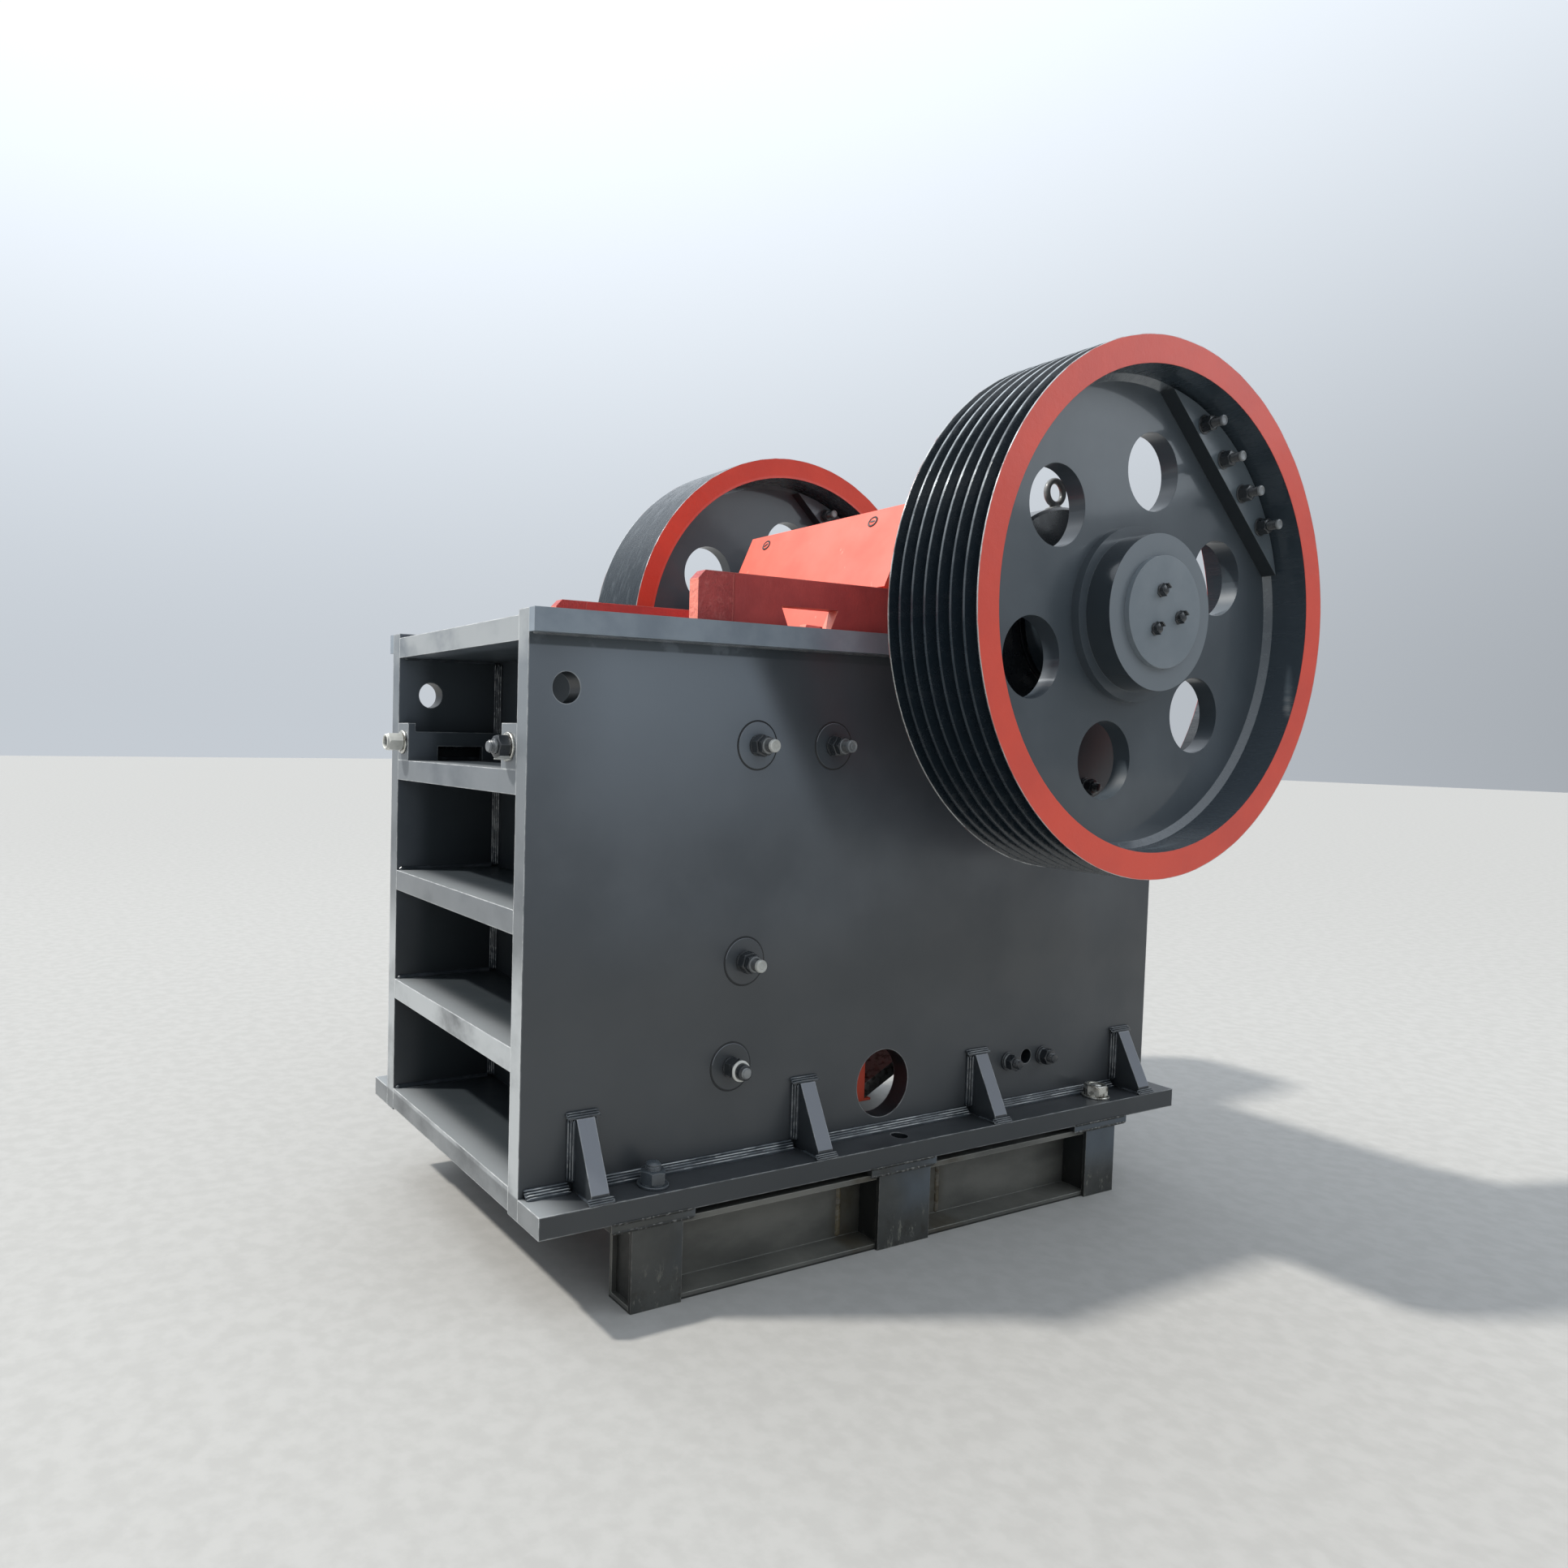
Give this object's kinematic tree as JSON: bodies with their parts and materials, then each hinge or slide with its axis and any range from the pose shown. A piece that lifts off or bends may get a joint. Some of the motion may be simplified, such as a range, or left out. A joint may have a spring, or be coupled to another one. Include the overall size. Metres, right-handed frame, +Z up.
{
  "type": "jaw crusher",
  "caption": "Welded jaw crusher with ribbed front, sloped guard over the swing jaw, a grooved belt pulley and a plain flywheel on one shaft, on a low channel stand.",
  "frame": {"origin": "on the ground under the middle of the overall box, halfway between the side plates", "axes": "+X from the ribbed front end to the rear, +Y from the grooved pulley to the plain flywheel, +Z up"},
  "size_m": [1.4394, 1.074, 1.4827],
  "materials": {
    "body_paint": "satin dark blue-grey paint over thick plate",
    "liner_red": "dark red primer over rough cast steel",
    "jaw_red": "coral red paint",
    "rim_black": "gloss black paint",
    "wheel_paint": "satin dark blue-grey paint",
    "shaft_steel": "turned steel",
    "stand_steel": "thin dark primer on rolled steel"
  },
  "bodies": {
    "frame": {"side_plate_near": "body_paint", "side_plate_far": "body_paint", "base_flange_near": "body_paint", "base_flange_far": "body_paint", "top_band_near": "body_paint", "top_band_far": "body_paint", "gussets_near": "body_paint", "gussets_far": "body_paint", "front_rib_1": "body_paint", "front_rib_2": "body_paint", "front_rib_3": "body_paint", "front_rib_4": "body_paint", "front_rib_5": "body_paint", "front_wall": "body_paint", "clamp_bracket_near": "body_paint", "clamp_bracket_far": "body_paint", "fixed_jaw_plate": "liner_red", "cheek_plate_near": "liner_red", "cheek_plate_far": "liner_red", "swing_jaw": "jaw_red", "swing_jaw_plate": "liner_red", "guard_plate": "jaw_red", "toggle_plate": "shaft_steel", "toggle_seat": "shaft_steel", "rear_wall": "body_paint", "rear_rib_low": "body_paint", "rear_rib_top": "body_paint", "tension_rod": "shaft_steel", "tension_spring": "shaft_steel", "bearing_housing_near": "rim_black", "bearing_housing_far": "rim_black", "stand_channel_near": "stand_steel", "stand_channel_far": "stand_steel", "stand_posts_near": "stand_steel", "stand_posts_far": "stand_steel", "shims_near": "stand_steel", "shims_far": "stand_steel"},
    "rotor": {"eccentric_shaft": "shaft_steel", "pulley": "rim_black", "flywheel": "rim_black", "counterweight_near": "wheel_paint", "counterweight_far": "wheel_paint", "hub_cap_near": "wheel_paint", "hub_cap_far": "wheel_paint"}
  },
  "joints": [
    {"name": "shaft_spin", "type": "hinge", "parent": "frame", "child": "rotor", "pos_m": [0.28975, 0, 1.0527], "axis": [0, 1, 0], "continuous": true}
  ]
}
